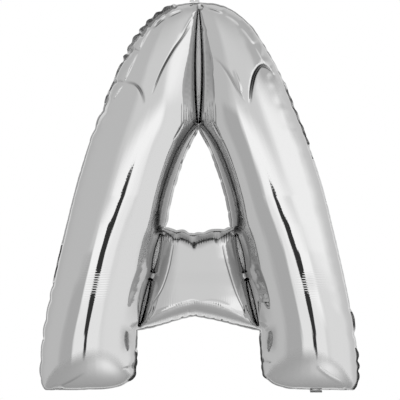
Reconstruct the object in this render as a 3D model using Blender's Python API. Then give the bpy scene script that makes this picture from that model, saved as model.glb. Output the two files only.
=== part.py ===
"""Foil letter balloon, a capital A, inflated and floating upright.

Two sheets of silver film are heat sealed along the letter's edge and round its window, and
welded to each other along five slim lenses: one from the apex to the window, and two at each
end of the crossbar. Gas swells the film into tubes between those seams.

Frame: metres, +Z up, +X to the viewer's right, the front sheet faces -Y. The origin is the
middle of the letter, on the plane of the seams.
"""

import math

import bmesh
import bpy
import numpy as np
from mathutils.geometry import delaunay_2d_cdt

MM = 0.001

# Driving sizes, in millimetres
FILM_WALL = 1.5
SEAM_GAP = 0.3
SEAM_WIDTH = 4.6
SEAM_SCALLOP = 1.4
SCALLOP_PITCH = 26.0
SEAM_THICKNESS = 1.0
CELL = 23.0
EDGE_STEP = 20.0
FIRST_RING = 4.5
SEAM_PARTS = 3

# The seam line of the right half, as (x from the centre line, z above the letter's middle)
APEX = (0.0, 420.0)
OUTER_EDGE = [APEX, (34.0, 417.5), (66.0, 407.0), (109.5, 373.0), (133.5, 339.5), (173.5, 269.5),
              (202.0, 200.0), (230.5, 130.0), (263.3, 25.0), (289.7, -80.0), (313.8, -185.5),
              (335.0, -290.5), (342.5, -360.0), (342.0, -405.0), (334.5, -421.5)]
FOOT_EDGE = [(334.5, -421.5), (263.0, -421.0), (190.0, -417.0), (162.0, -407.5), (145.0, -391.0)]
LEG_INNER_EDGE = [(145.0, -391.0), (142.5, -360.0), (140.0, -330.0), (137.5, -292.0)]
CROSSBAR_FOOT = [(137.5, -292.0), (105.0, -285.0), (44.0, -268.5), (0.0, -259.0)]
WINDOW_SIDE = [(0.0, 153.5), (21.5, 114.0), (36.5, 79.0), (48.5, 44.0), (59.0, 9.0),
               (67.0, -26.0), (71.0, -50.0), (74.5, -71.0)]
WINDOW_SILL = [(74.5, -71.0), (54.0, -77.5), (28.0, -80.0), (0.0, -88.0)]

# The welds between the sheets: node name, one end, other end, half width, on which sides
WELDS = [
    ("apex_weld", (0.0, 413.0), (0.0, 159.0), 5.2, (1,)),
    ("crossbar_weld_upper", (82.0, -83.0), (101.5, -168.0), 4.4, (-1, 1)),
    ("crossbar_weld_lower", (105.0, -178.5), (130.0, -284.0), 5.4, (-1, 1)),
]
SIDE_NAME = {-1: "_left", 1: "_right"}
WELD_STEP = 15.0
TIP_TRIM = 1.6

# The hanging tab on the rim at the apex
TAB_X = -9.0
TAB_WIDTH = 22.0
TAB_TOP = 432.5
TAB_HOLE_Z = 429.2
TAB_HOLE_RADIUS = 1.6

# The filling neck under the right foot, folded back behind the letter
NECK_X = 258.0
NECK_WIDTH = 26.0
NECK_TOP = -427.7
NECK_BEND = 1.6
NECK_LENGTH = 46.0
NECK_RISE_DEG = 6.0
NECK_THICKNESS = 1.0


def clear_scene():
    for old in list(bpy.data.objects):
        bpy.data.objects.remove(old, do_unlink=True)


def film_material(name, roughness, shade):
    """Metallised film: a bright mirror, softer where it is crimped."""
    material = bpy.data.materials.new(name)
    material.use_nodes = True
    shader = material.node_tree.nodes["Principled BSDF"]
    shader.inputs["Base Color"].default_value = (shade, shade, shade * 1.01, 1)
    shader.inputs["Metallic"].default_value = 1.0
    shader.inputs["Roughness"].default_value = roughness
    return material


def resampled(points, step):
    """Points about one step apart along a polyline, with both its ends."""
    points = np.asarray(points, float)
    lengths = np.concatenate([[0], np.cumsum(np.linalg.norm(np.diff(points, axis=0), axis=1))])
    count = max(1, round(lengths[-1] / step))
    at = np.linspace(0, lengths[-1], count + 1)
    return np.column_stack([np.interp(at, lengths, points[:, k]) for k in (0, 1)])


def curve_through(points, step):
    """A smooth curve through the points, a centripetal Catmull-Rom spline, resampled evenly."""
    points = np.asarray(points, float)
    padded = np.vstack([2 * points[0] - points[1], points, 2 * points[-1] - points[-2]])
    dense = []
    for p0, p1, p2, p3 in zip(padded, padded[1:], padded[2:], padded[3:]):
        t0 = 0.0
        t1 = t0 + np.linalg.norm(p1 - p0) ** 0.5
        t2 = t1 + np.linalg.norm(p2 - p1) ** 0.5
        t3 = t2 + np.linalg.norm(p3 - p2) ** 0.5
        for t in np.linspace(t1, t2, 12, endpoint=False):
            a1 = ((t1 - t) * p0 + (t - t0) * p1) / (t1 - t0)
            a2 = ((t2 - t) * p1 + (t - t1) * p2) / (t2 - t1)
            a3 = ((t3 - t) * p2 + (t - t2) * p3) / (t3 - t2)
            b1 = ((t2 - t) * a1 + (t - t0) * a2) / (t2 - t0)
            b2 = ((t3 - t) * a2 + (t - t1) * a3) / (t3 - t1)
            dense.append(((t2 - t) * b1 + (t - t1) * b2) / (t2 - t1))
    dense.append(points[-1])
    return resampled(dense, step)


def letter_loop(half_edges, step):
    """A closed loop, symmetric about the centre line, from the edges of its right half."""
    half = [curve_through(half_edges[0], step)]
    half += [curve_through(edge, step)[1:] for edge in half_edges[1:]]
    right = np.vstack(half)
    left = right[-2:0:-1] * (-1, 1)
    return np.vstack([right, left])


def lens_loop(start, end, half_width, step, trim=0.0):
    """The outline of a weld: a slim lens with pointed ends."""
    start, end = np.asarray(start, float), np.asarray(end, float)
    length = np.linalg.norm(end - start)
    along = (end - start) / length
    across = np.array([-along[1], along[0]])
    share = np.linspace(0, 1, max(4, round(length / step)) + 1)
    centre = start + np.outer(share * (length - 2 * trim) + trim, along)
    width = half_width * np.sin(math.pi * share) ** 0.8
    sides = centre + np.outer(width, across), centre - np.outer(width, across)
    return np.vstack([sides[0], sides[1][-2:0:-1]])


def divided(loop, parts):
    """The same closed loop with each of its straight sides cut into equal parts."""
    ends = np.roll(loop, -1, axis=0)
    share = np.arange(parts)[None, :, None] / parts
    return (loop[:, None] + (ends - loop)[:, None] * share).reshape(-1, 2)


def mirrored(point, side):
    return (point[0] * side, point[1])


def weld_list():
    """Each weld as (node name, start, end, half width), both sides of the letter."""
    made = []
    for name, start, end, half_width, sides in WELDS:
        for side in sides:
            full_name = name + (SIDE_NAME[side] if len(sides) > 1 else "")
            made.append((full_name, mirrored(start, side), mirrored(end, side), half_width))
    return made


def inside(points, loop):
    """Which of the points lie inside a closed loop."""
    x, z = points[:, 0, None], points[:, 1, None]
    x0, z0 = loop[:, 0], loop[:, 1]
    x1, z1 = np.roll(x0, -1), np.roll(z0, -1)
    crosses = (z0 > z) != (z1 > z)
    rise = np.where(z1 == z0, 1.0, z1 - z0)
    return ((x < x0 + (x1 - x0) * (z - z0) / rise) & crosses).sum(axis=1) % 2 == 1


def distance_to(points, loop):
    """How far each point lies from a closed loop."""
    ends = np.roll(loop, -1, axis=0)
    run = ends - loop
    share = ((points[:, None] - loop) * run).sum(axis=2) / (run ** 2).sum(axis=1)
    nearest = loop + np.clip(share, 0, 1)[..., None] * run
    return np.linalg.norm(points[:, None] - nearest, axis=2).min(axis=1)


def outward_normals(loop):
    """At each point of a loop, the direction that leaves the area that the loop encloses."""
    run = np.roll(loop, -1, axis=0) - loop
    edge_normal = np.column_stack([run[:, 1], -run[:, 0]]) / np.linalg.norm(run, axis=1)[:, None]
    twice_area = (loop[:, 0] * np.roll(loop[:, 1], -1) - np.roll(loop[:, 0], -1) * loop[:, 1]).sum()
    if twice_area < 0:
        edge_normal = -edge_normal
    normal = edge_normal + np.roll(edge_normal, 1, axis=0)
    return normal / np.linalg.norm(normal, axis=1)[:, None]


def offset_loop(loop, distance):
    """The loop moved out by a distance, or in where it is negative, without its crossings."""
    distance = np.broadcast_to(distance, len(loop))
    moved = loop + outward_normals(loop) * distance[:, None]
    return moved[distance_to(moved, loop) > 0.93 * np.abs(distance)]


def triangles_between(border, holes, more_points=()):
    """Points and triangles of the area inside the border loop and outside the hole loops."""
    loops = [border, *holes]
    points = np.vstack([*loops, *more_points])
    edges, first = [], 0
    for loop in loops:
        count = len(loop)
        edges += [(first + k, first + (k + 1) % count) for k in range(count)]
        first += count
    found = delaunay_2d_cdt([tuple(p) for p in points], edges, [], 0, 1e-6)
    made = np.array([tuple(p) for p in found[0]])
    triangles = np.array(found[2])
    middle = made[triangles].mean(axis=1)
    kept = inside(middle, border)
    for hole in holes:
        kept &= ~inside(middle, hole)
    return made, triangles[kept]


def film_grid(border, holes):
    """Points for the film: a ring near each seam, then a triangular grid."""
    rings = [offset_loop(border, -FIRST_RING)] + [offset_loop(hole, FIRST_RING) for hole in holes]
    low, high = border.min(axis=0), border.max(axis=0)
    rows = np.arange(low[1], high[1], CELL * math.sqrt(3) / 2)
    grid = [(x + (row % 2) * CELL / 2, z) for row, z in enumerate(rows)
            for x in np.arange(-math.ceil(high[0] / CELL) * CELL, high[0], CELL)]
    points = np.vstack([*rings, grid])
    keep = inside(points, border)
    clearance = distance_to(points, border)
    for hole in holes:
        keep &= ~inside(points, hole)
        clearance = np.minimum(clearance, distance_to(points, hole))
    ring_count = sum(len(ring) for ring in rings)
    in_ring = np.arange(len(points)) < ring_count
    wanted = np.where(in_ring, 0.8 * FIRST_RING, FIRST_RING + 0.45 * CELL)
    keep &= clearance > wanted
    return points[keep]


def film_triangles(border, holes):
    """The film's points and triangles, where no triangle has all its corners on seams."""
    more = film_grid(border, holes)
    seam_count = len(border) + sum(len(hole) for hole in holes)
    while True:
        points, triangles = triangles_between(border, holes, [more])
        boundary = {frozenset(edge) for edge in boundary_edges(triangles)}
        across = {frozenset((int(a), int(b))) for t in triangles for a, b in zip(t, np.roll(t, 1))}
        across = [sorted(e) for e in across - boundary if max(e) < seam_count]
        if not across:
            return points, triangles
        more = np.vstack([more, [points[e].mean(axis=0) for e in sorted(across)]])


def swollen_heights(points, triangles, on_seam):
    """How far gas pushes the film out from the seams, at each point.

    A taut membrane over the same outline, loaded evenly, has the height u. The film's own
    height is the root of 2u, which is a half circle over a straight strip between two seams.
    """
    count = len(points)
    stiffness, load = np.zeros((count, count)), np.zeros(count)
    for corners in triangles:
        p = points[corners]
        area = abs(np.cross(p[1] - p[0], p[2] - p[0])) / 2
        load[corners] += area / 3
        for k in range(3):
            i, j, opposite = corners[k], corners[(k + 1) % 3], p[(k + 2) % 3]
            a, b = points[i] - opposite, points[j] - opposite
            weight = (a @ b) / (4 * area)
            stiffness[i, j] -= weight
            stiffness[j, i] -= weight
            stiffness[i, i] += weight
            stiffness[j, j] += weight
    free = np.flatnonzero(~on_seam)
    height = np.zeros(count)
    height[free] = np.linalg.solve(stiffness[np.ix_(free, free)], load[free])
    return np.sqrt(2 * np.maximum(height, 0))


def mesh_object(name, vertices, faces, material, smooth=True):
    """A named object from points in millimetres, its faces turned outwards."""
    mesh = bpy.data.meshes.new(name)
    metres = [tuple(float(c) * MM for c in v) for v in vertices]
    mesh.from_pydata(metres, [], [[int(k) for k in face] for face in faces])
    work = bmesh.new()
    work.from_mesh(mesh)
    bmesh.ops.recalc_face_normals(work, faces=work.faces)
    if work.calc_volume(signed=True) < 0:
        bmesh.ops.reverse_faces(work, faces=work.faces)
    work.to_mesh(mesh)
    work.free()
    if smooth:
        mesh.shade_smooth()
        mesh.set_sharp_from_angle(angle=math.radians(40))
    mesh.materials.append(material)
    made = bpy.data.objects.new(name, mesh)
    bpy.context.scene.collection.objects.link(made)
    return made


def boundary_edges(triangles):
    """The directed edges that only one triangle has."""
    directed = {(int(a), int(b)) for t in triangles for a, b in ((t[0], t[1]), (t[1], t[2]), (t[2], t[0]))}
    return [(a, b) for a, b in directed if (b, a) not in directed]


def plate(name, points, triangles, thickness, material):
    """A flat plate on the plane of the seams."""
    count = len(points)
    front = np.column_stack([points[:, 0], np.full(count, -thickness / 2), points[:, 1]])
    back = front * (1, -1, 1)
    faces = [tuple(t) for t in triangles] + [tuple(t[::-1] + count) for t in triangles]
    faces += [(b, a, a + count, b + count) for a, b in boundary_edges(triangles)]
    return mesh_object(name, np.vstack([front, back]), faces, material, smooth=False)


def film_surfaces(points, triangles, loops):
    """The front sheet's outer and inner skins, as two lists of points."""
    seam_normal = np.zeros((len(points), 2))
    on_seam = np.zeros(len(points), bool)
    for loop, direction in loops:
        normals = outward_normals(loop) * direction
        for p, n in zip(loop, normals):
            nearest = np.argmin(((points - p) ** 2).sum(axis=1))
            seam_normal[nearest] = n
            on_seam[nearest] = True
    height = swollen_heights(points, triangles, on_seam)
    outer = np.column_stack([points[:, 0], -(height + SEAM_GAP / 2), points[:, 1]])
    normal = np.zeros_like(outer)
    for t in triangles:
        face = np.cross(outer[t[1]] - outer[t[0]], outer[t[2]] - outer[t[0]])
        normal[t] += face if face[1] < 0 else -face
    normal /= np.linalg.norm(normal, axis=1)[:, None]
    flat = seam_normal[on_seam]
    normal[on_seam] = np.column_stack([flat[:, 0], np.zeros(len(flat)), flat[:, 1]])
    inner = outer - FILM_WALL * normal
    least = -(0.3 * height + SEAM_GAP / 2)
    inner[:, 1] = np.where(on_seam, outer[:, 1], np.minimum(inner[:, 1], least))
    return outer, inner


def build_film(outline, window, lenses, material):
    """The front and back sheets, each a thin swollen skin with a flat rim on the seam plane."""
    holes = [window, *lenses]
    points, triangles = film_triangles(outline, holes)
    loops = [(outline, 1)] + [(hole, -1) for hole in holes]
    outer, inner = film_surfaces(points, triangles, loops)
    count = len(points)
    faces = [tuple(t) for t in triangles] + [tuple(t[::-1] + count) for t in triangles]
    faces += [(b, a, a + count, b + count) for a, b in boundary_edges(triangles)]
    skins = np.vstack([outer, inner])
    mesh_object("front_film", skins, faces, material)
    mesh_object("back_film", skins * (1, -1, 1), faces, material)


def scalloped(loop, width):
    """The loop moved to the rim's free edge, which bulges between its puckers."""
    steps = np.linalg.norm(np.roll(loop, -1, axis=0) - loop, axis=1)
    along = np.concatenate([[0], np.cumsum(steps)[:-1]])
    lobes = round(steps.sum() / SCALLOP_PITCH)
    wave = np.abs(np.sin(math.pi * lobes * along / steps.sum()))
    return offset_loop(loop, width + math.copysign(SEAM_SCALLOP, width) * wave)


def free_edge(film_edge, side):
    """A rim's cut edge, which lies outside the letter for side 1 and in the window for -1."""
    return scalloped(divided(film_edge, SEAM_PARTS), side * SEAM_WIDTH)


def build_seams(outline, window, material):
    """The flat sealed rims round the letter and inside its window."""
    for name, film_edge, side in (("outer_seam", outline, 1), ("window_seam", window, -1)):
        near = offset_loop(divided(film_edge, SEAM_PARTS), side * SEAM_GAP)
        free = free_edge(film_edge, side)
        border, hole = (free, near) if side > 0 else (near, free)
        points, triangles = triangles_between(border, [hole])
        plate(name, points, triangles, SEAM_THICKNESS, material)


def build_welds(material):
    """The flat lenses of film, sealed front to back, at the bottom of each valley."""
    for name, start, end, half_width in weld_list():
        loop = lens_loop(start, end, half_width - SEAM_GAP, WELD_STEP, TIP_TRIM)
        points, triangles = triangles_between(loop, [])
        plate(name, points, triangles, SEAM_THICKNESS, material)


def build_hanging_tab(outline, material):
    """A small tab on the rim at the apex, with a punched hole for a thread.

    Its foot follows the rim's cut edge.
    """
    rim = free_edge(outline, 1)
    rim = rim[rim[:, 1] > APEX[1]]
    rim = rim[np.argsort(rim[:, 0])]
    foot_x = np.linspace(TAB_X - TAB_WIDTH / 2, TAB_X + TAB_WIDTH / 2, 12)
    foot = np.column_stack([foot_x, np.interp(foot_x, rim[:, 0], rim[:, 1]) + SEAM_GAP])
    turn = np.radians(np.arange(15, 166, 15))
    across = np.sign(np.cos(turn)) * np.abs(np.cos(turn)) ** 0.6
    top_x = TAB_X + TAB_WIDTH / 2 * across
    ground = np.interp(top_x, foot[:, 0], foot[:, 1])
    top = np.column_stack([top_x, ground + (TAB_TOP - ground) * np.sin(turn) ** 0.6])
    border = np.vstack([foot, top])
    circle = np.radians(np.arange(0, 360, 30))
    hole = TAB_HOLE_RADIUS * np.column_stack([np.cos(circle), np.sin(circle)]) + (TAB_X, TAB_HOLE_Z)
    points, triangles = triangles_between(border, [hole])
    plate("hanging_tab", points, triangles, SEAM_THICKNESS, material)


def neck_path():
    """The neck's middle line in the (y, z) plane: down, round a tight fold, then back."""
    turn = np.radians(np.arange(0, 91 - NECK_RISE_DEG + 12, 12))
    centre = np.array([NECK_BEND, NECK_TOP - NECK_BEND])
    fold = centre + NECK_BEND * np.column_stack([-np.cos(turn), -np.sin(turn)])
    rise = math.radians(NECK_RISE_DEG)
    end = fold[-1] + NECK_LENGTH * np.array([math.cos(rise), math.sin(rise)])
    return np.vstack([[(0.0, NECK_TOP)], fold, [end]])


def build_filling_neck(material):
    """The flat tube that the gas goes in by, a strip of two films with its fold at the root."""
    path = neck_path()
    run = np.gradient(path, axis=0)
    run /= np.linalg.norm(run, axis=1)[:, None]
    side = np.column_stack([run[:, 1], -run[:, 0]]) * NECK_THICKNESS / 2
    vertices, faces = [], []
    for middle, off in zip(path, side):
        for x in (-NECK_WIDTH / 2, NECK_WIDTH / 2):
            for p in (middle + off, middle - off):
                vertices.append((NECK_X + x, p[0], p[1]))
    for k in range(len(path) - 1):
        a, b = 4 * k, 4 * k + 4
        for p, q in ((0, 1), (1, 3), (3, 2), (2, 0)):
            faces.append((a + p, a + q, b + q, b + p))
    last = 4 * (len(path) - 1)
    faces += [(0, 2, 3, 1), (last, last + 1, last + 3, last + 2)]
    mesh_object("filling_neck", vertices, faces, material, smooth=False)


def main():
    clear_scene()
    mirror_film = film_material("silver_film", 0.10, 0.80)
    crimped_film = film_material("sealed_film", 0.22, 0.72)
    outer_edges = [OUTER_EDGE, FOOT_EDGE, LEG_INNER_EDGE, CROSSBAR_FOOT]
    window_edges = [WINDOW_SIDE, WINDOW_SILL]
    lenses = [lens_loop(start, end, half, WELD_STEP) for _, start, end, half in weld_list()]
    outline = letter_loop(outer_edges, EDGE_STEP)
    window = letter_loop(window_edges, EDGE_STEP)
    build_film(outline, window, lenses, mirror_film)
    build_seams(outline, window, crimped_film)
    build_welds(crimped_film)
    build_hanging_tab(outline, crimped_film)
    build_filling_neck(crimped_film)


main()
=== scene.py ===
import math

import bpy
import numpy as np
from mathutils.geometry import delaunay_2d_cdt
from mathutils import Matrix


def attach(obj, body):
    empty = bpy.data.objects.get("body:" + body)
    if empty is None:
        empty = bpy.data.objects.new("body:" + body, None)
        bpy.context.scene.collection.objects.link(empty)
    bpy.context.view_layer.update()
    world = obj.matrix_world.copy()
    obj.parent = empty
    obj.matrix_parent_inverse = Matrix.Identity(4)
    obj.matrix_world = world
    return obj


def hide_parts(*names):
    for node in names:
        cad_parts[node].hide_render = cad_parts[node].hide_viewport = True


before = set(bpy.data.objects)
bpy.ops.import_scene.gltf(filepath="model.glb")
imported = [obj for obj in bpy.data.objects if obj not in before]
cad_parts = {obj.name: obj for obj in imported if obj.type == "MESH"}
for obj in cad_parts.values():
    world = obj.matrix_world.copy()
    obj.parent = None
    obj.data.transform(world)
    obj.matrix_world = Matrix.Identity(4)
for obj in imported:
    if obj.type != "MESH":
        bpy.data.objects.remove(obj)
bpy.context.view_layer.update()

# The sealed rims. The balloon is two sheets of metallised film, heat sealed to each other along a
# line round the letter and one round its window, and cut off a few millimetres outside it with a
# hot knife. Gas pulls those lines in, and where they curve the spare film puckers the rims.

# the right half's lines, as points (x, z) in millimetres from the letter's middle
OUTER_SIDE = [(0.0, 420.0), (34.0, 417.5), (66.0, 407.0), (109.5, 373.0), (133.5, 339.5),
              (173.5, 269.5), (202.0, 200.0), (230.5, 130.0), (263.3, 25.0), (289.7, -80.0),
              (313.8, -185.5), (335.0, -290.5), (342.5, -360.0), (342.0, -405.0), (334.5, -421.5)]
FOOT = [(334.5, -421.5), (263.0, -421.0), (190.0, -417.0), (162.0, -407.5), (145.0, -391.0)]
LEG_INSIDE = [(145.0, -391.0), (142.5, -360.0), (140.0, -330.0), (137.5, -292.0)]
CROSSBAR_FOOT = [(137.5, -292.0), (105.0, -285.0), (44.0, -268.5), (0.0, -259.0)]
WINDOW_SIDE = [(0.0, 153.5), (21.5, 114.0), (36.5, 79.0), (48.5, 44.0), (59.0, 9.0),
               (67.0, -26.0), (71.0, -50.0), (74.5, -71.0)]
WINDOW_SILL = [(74.5, -71.0), (54.0, -77.5), (28.0, -80.0), (0.0, -88.0)]
LINE_STEP = 4.0

# side (-1 left, 1 right), edge number, from z, to z, length of a pucker, depth of a pucker
OUTER_PUCKERS = [
    (-1, 0, 430, 398, 16, 1.2), (-1, 0, 398, 352, 13, 2.2), (-1, 0, 352, 120, 60, 4.6),
    (-1, 0, 120, -190, 12, 0.7), (-1, 0, -190, -430, 43, 3.2),
    (1, 0, 430, 250, 24, 1.0), (1, 0, 250, 90, 32, 1.3), (1, 0, 90, -235, 11, 0.6),
    (1, 0, -235, -320, 62, 3.2), (1, 0, -320, -430, 27, 2.8),
    (-1, 1, 0, -500, 70, 0.8), (1, 1, 0, -500, 60, 0.8),
    (-1, 2, -200, -335, 26, 0.8), (-1, 2, -335, -430, 29, 2.8), (1, 2, -200, -430, 20, 1.6),
    (-1, 3, 0, -430, 21, 1.4), (1, 3, 0, -430, 16, 1.1),
]
WINDOW_PUCKERS = [(-1, 0, 200, -100, 13, -0.7), (1, 0, 200, -100, 13, -0.7),
                  (-1, 1, 0, -100, 38, -4.2), (1, 1, 0, -100, 38, -4.2)]
# the length that counts off the line where it has no puckers
PLAIN_LENGTH = 20.0
# how far the cusps between puckers are shifted, in puckers, and from and to what size they vary
CUSP_SHIFT = 0.22
PUCKER_SIZES = (0.55, 1.25)
# how blunt a pucker is, and the share of its depth that lies inside the line
PUCKER_POWER = 0.75
PUCKER_INSIDE = 0.55
chance = np.random.default_rng(4)


def even_points(points, step):
    """Points at even steps along a bent line."""
    points = np.asarray(points, float)
    run = np.r_[0, np.cumsum(np.linalg.norm(np.diff(points, axis=0), axis=1))]
    at = np.linspace(0, run[-1], max(1, round(run[-1] / step)) + 1)
    return np.column_stack([np.interp(at, run, points[:, k]) for k in (0, 1)])


def curve_through(points, step):
    """An even curve through the points, a centripetal Catmull-Rom spline."""
    points = np.asarray(points, float)
    ends = np.vstack([2 * points[0] - points[1], points, 2 * points[-1] - points[-2]])
    dense = []
    for p0, p1, p2, p3 in zip(ends, ends[1:], ends[2:], ends[3:]):
        spans = [math.dist(a, b) ** 0.5 for a, b in ((p0, p1), (p1, p2), (p2, p3))]
        t0, t1, t2, t3 = np.cumsum([0.0] + spans)
        for t in np.linspace(t1, t2, 12, endpoint=False):
            a1 = ((t1 - t) * p0 + (t - t0) * p1) / (t1 - t0)
            a2 = ((t2 - t) * p1 + (t - t1) * p2) / (t2 - t1)
            a3 = ((t3 - t) * p2 + (t - t2) * p3) / (t3 - t2)
            b1 = ((t2 - t) * a1 + (t - t0) * a2) / (t2 - t0)
            b2 = ((t3 - t) * a2 + (t - t1) * a3) / (t3 - t1)
            dense.append(((t2 - t) * b1 + (t - t1) * b2) / (t2 - t1))
    dense.append(points[-1])
    return even_points(dense, step)


def outward(loop):
    """At each point of a loop, the direction that leaves the area inside it."""
    run = np.roll(loop, -1, axis=0) - loop
    side = np.column_stack([run[:, 1], -run[:, 0]])
    if (loop[:, 0] * np.roll(loop[:, 1], -1) - np.roll(loop[:, 0], -1) * loop[:, 1]).sum() < 0:
        side = -side
    side /= np.linalg.norm(side, axis=1)[:, None]
    side += np.roll(side, 1, axis=0)
    return side / np.linalg.norm(side, axis=1)[:, None]


def sealed_line(edges, puckers):
    """The closed line of the letter from its right half's edges, with the puckers along it."""
    half = [curve_through(edge, LINE_STEP) for edge in edges]
    right = np.vstack([half[0]] + [part[1:] for part in half[1:]])
    number = np.repeat(range(len(half)), [len(half[0])] + [len(part) - 1 for part in half[1:]])
    loop = np.vstack([right, right[-2:0:-1] * (-1, 1)])
    number = np.r_[number, number[-2:0:-1]]
    side = np.r_[np.ones(len(right)), -np.ones(len(loop) - len(right))]
    length, depth = np.full(len(loop), PLAIN_LENGTH), np.zeros(len(loop))
    for which, edge, top, bottom, long, deep in puckers:
        here = (side == which) & (number == edge) & (loop[:, 1] <= top) & (loop[:, 1] > bottom)
        length[here], depth[here] = long, deep
    steps = np.linalg.norm(np.roll(loop, -1, axis=0) - loop, axis=1)
    turn = np.cumsum(steps / length)
    turn *= round(turn[-1]) / turn[-1]
    last = round(turn[-1])
    cusps = np.arange(last + 1) + chance.uniform(-CUSP_SHIFT, CUSP_SHIFT, last + 1)
    cusps[0], cusps[-1] = 0, last
    phase = np.interp(turn, cusps, np.arange(len(cusps)))
    size = chance.uniform(*PUCKER_SIZES, len(cusps))[np.clip(phase.astype(int), 0, len(cusps) - 1)]
    bulge = np.abs(np.sin(np.pi * phase)) ** PUCKER_POWER - PUCKER_INSIDE
    return loop + outward(loop) * (depth * size * bulge)[:, None]


# how far the crossbar's two notches, one in its sill and one in its foot, are drawn to the left,
# between which heights, and how far to the sides of the notches
CROSSBAR_LEAN = 10.0
LEAN_TOP, LEAN_BOTTOM = -60, -330
LEAN_REACH = 90


def leaned(line):
    """A line, with the crossbar's two notches drawn a little to the left."""
    at_bar = (line[:, 1] < LEAN_TOP) & (line[:, 1] > LEAN_BOTTOM)
    to_left = CROSSBAR_LEAN * at_bar * np.clip(1 - np.abs(line[:, 0]) / LEAN_REACH, 0, 1)
    return line - np.column_stack([to_left, 0 * line[:, 1]])


# how far the blown film bulges out over the rim
FILM_OVER_RIM = 2.2
# how far the right leg's outer side stands out more than the left one's, by height above level
FULLER_Z = [-430, -330, -200, 20, 130]
FULLER = [2.5, 1.0, 3.0, 3.0, 0.0]
OUTER_SIDE_FROM = 150
outer_line = leaned(sealed_line([OUTER_SIDE, FOOT, LEG_INSIDE, CROSSBAR_FOOT], OUTER_PUCKERS))
outer_line = outer_line + outward(outer_line) * FILM_OVER_RIM
fuller = np.interp(outer_line[:, 1], FULLER_Z, FULLER) * np.clip(outer_line[:, 0] / 60, 0, 1)
outer_line[:, 0] += fuller * (np.abs(outer_line[:, 0]) > OUTER_SIDE_FROM)
window_line = leaned(sealed_line([WINDOW_SIDE, WINDOW_SILL], WINDOW_PUCKERS))


def srgb(hex_colour):
    """A colour of six hex digits as linear light."""
    parts = [int(hex_colour[k:k + 2], 16) / 255 for k in (1, 3, 5)]
    return (*(v / 12.92 if v <= 0.04045 else ((v + 0.055) / 1.055) ** 2.4 for v in parts), 1)


def bare_material(name):
    """A material with no nodes in it yet."""
    material = bpy.data.materials.new(name)
    material.use_nodes = True
    material.node_tree.nodes.clear()
    return material


def add_node(tree, kind, settings=None, **links):
    """A node with its settings, whose inputs take values or other nodes' outputs. An input is
    given by its name, or as _ and its number where several have the same name."""
    node = tree.nodes.new(kind)
    for name, value in (settings or {}).items():
        setattr(node, name, value)
    for name, value in links.items():
        socket = node.inputs[int(name[1:]) if name[0] == "_" else name.replace("_", " ")]
        if isinstance(value, bpy.types.NodeSocket):
            tree.links.new(value, socket)
        else:
            socket.default_value = value
    return node


# metallised nylon film, heat sealed: the heat has crimped it every 2.4 mm and dulled its metal, so
# it shines in small broken glints and is darker than the blown film
CRIMPS_TO_A_METRE = 420.0
sealed_finish = bare_material("metallised_nylon_film_heat_sealed")
tree = sealed_finish.node_tree
place = add_node(tree, "ShaderNodeTexCoord").outputs["Object"]
crimp = add_node(tree, "ShaderNodeTexNoise", Vector=place, Scale=CRIMPS_TO_A_METRE, Detail=2.0)
crimped = add_node(tree, "ShaderNodeBump", Height=crimp.outputs["Fac"], Strength=0.05, Distance=0.0004)
skin = add_node(tree, "ShaderNodeBsdfPrincipled", Base_Color=srgb("#a6a6a6"), Metallic=1.0, Roughness=0.11,
                Specular_Tint=srgb("#a0a0a0"), Normal=crimped.outputs["Normal"])
add_node(tree, "ShaderNodeOutputMaterial", Surface=skin.outputs["BSDF"])


def new_piece(name, points, faces, material):
    """A smooth object from points in millimetres."""
    mesh = bpy.data.meshes.new(name)
    mesh.from_pydata((np.asarray(points) * 0.001).tolist(), [], [list(map(int, face)) for face in faces])
    mesh.shade_smooth()
    if material:
        mesh.materials.append(material)
    piece = bpy.data.objects.new(name, mesh)
    bpy.context.scene.collection.objects.link(piece)
    return piece


def make_finer(piece):
    """Each face of a piece becomes four, so that its curves are smooth."""
    finer = piece.modifiers.new("finer", "SUBSURF")
    finer.levels = finer.render_levels = 1


def strip_faces(row_count, length, closed):
    """The faces between rows of points, each row of this length and closed to a ring or open."""
    return [(row * length + k, row * length + (k + 1) % length,
             (row + 1) * length + (k + 1) % length, (row + 1) * length + k)
            for row in range(row_count) for k in range(length if closed else length - 1)]


RIM_WIDTH = 4.6
RIM_ROWS = 4
# how much the rim's width varies, and how far its free edge waves and lies back
RIM_UNEVEN = 0.10
RIM_WAVE = 0.75
RIM_WAVE_POINTS = 2.2
RIM_BENT_BACK = 1.6
# half discs of rim that stand out flat between two puckers: whether they are on the outside of
# the leg, side, from z, to z, length, reach
RIM_LOBES = [(True, -1, 424, 300, 24, 6.5), (True, -1, 300, 200, 34, 2.0), (True, 1, 250, 110, 34, 2.4),
             (True, 1, -250, -300, 50, 3.0), (True, 1, -330, -424, 24, 3.4), (True, -1, -100, -190, 12, 1.0),
             (False, -1, -340, -405, 28, 4.0), (False, 1, -300, -400, 18, 1.4)]
LOBE_WAVE = 0.08
LOBE_POWER = 0.6
# from this share of its outward direction to the side on, a rim is on the outside of its leg
LOBE_FACING = 0.3
# the lobes of the letter's upper half lean a little to the front
UPPER_LOBE_SLOPE = 0.045


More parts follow.
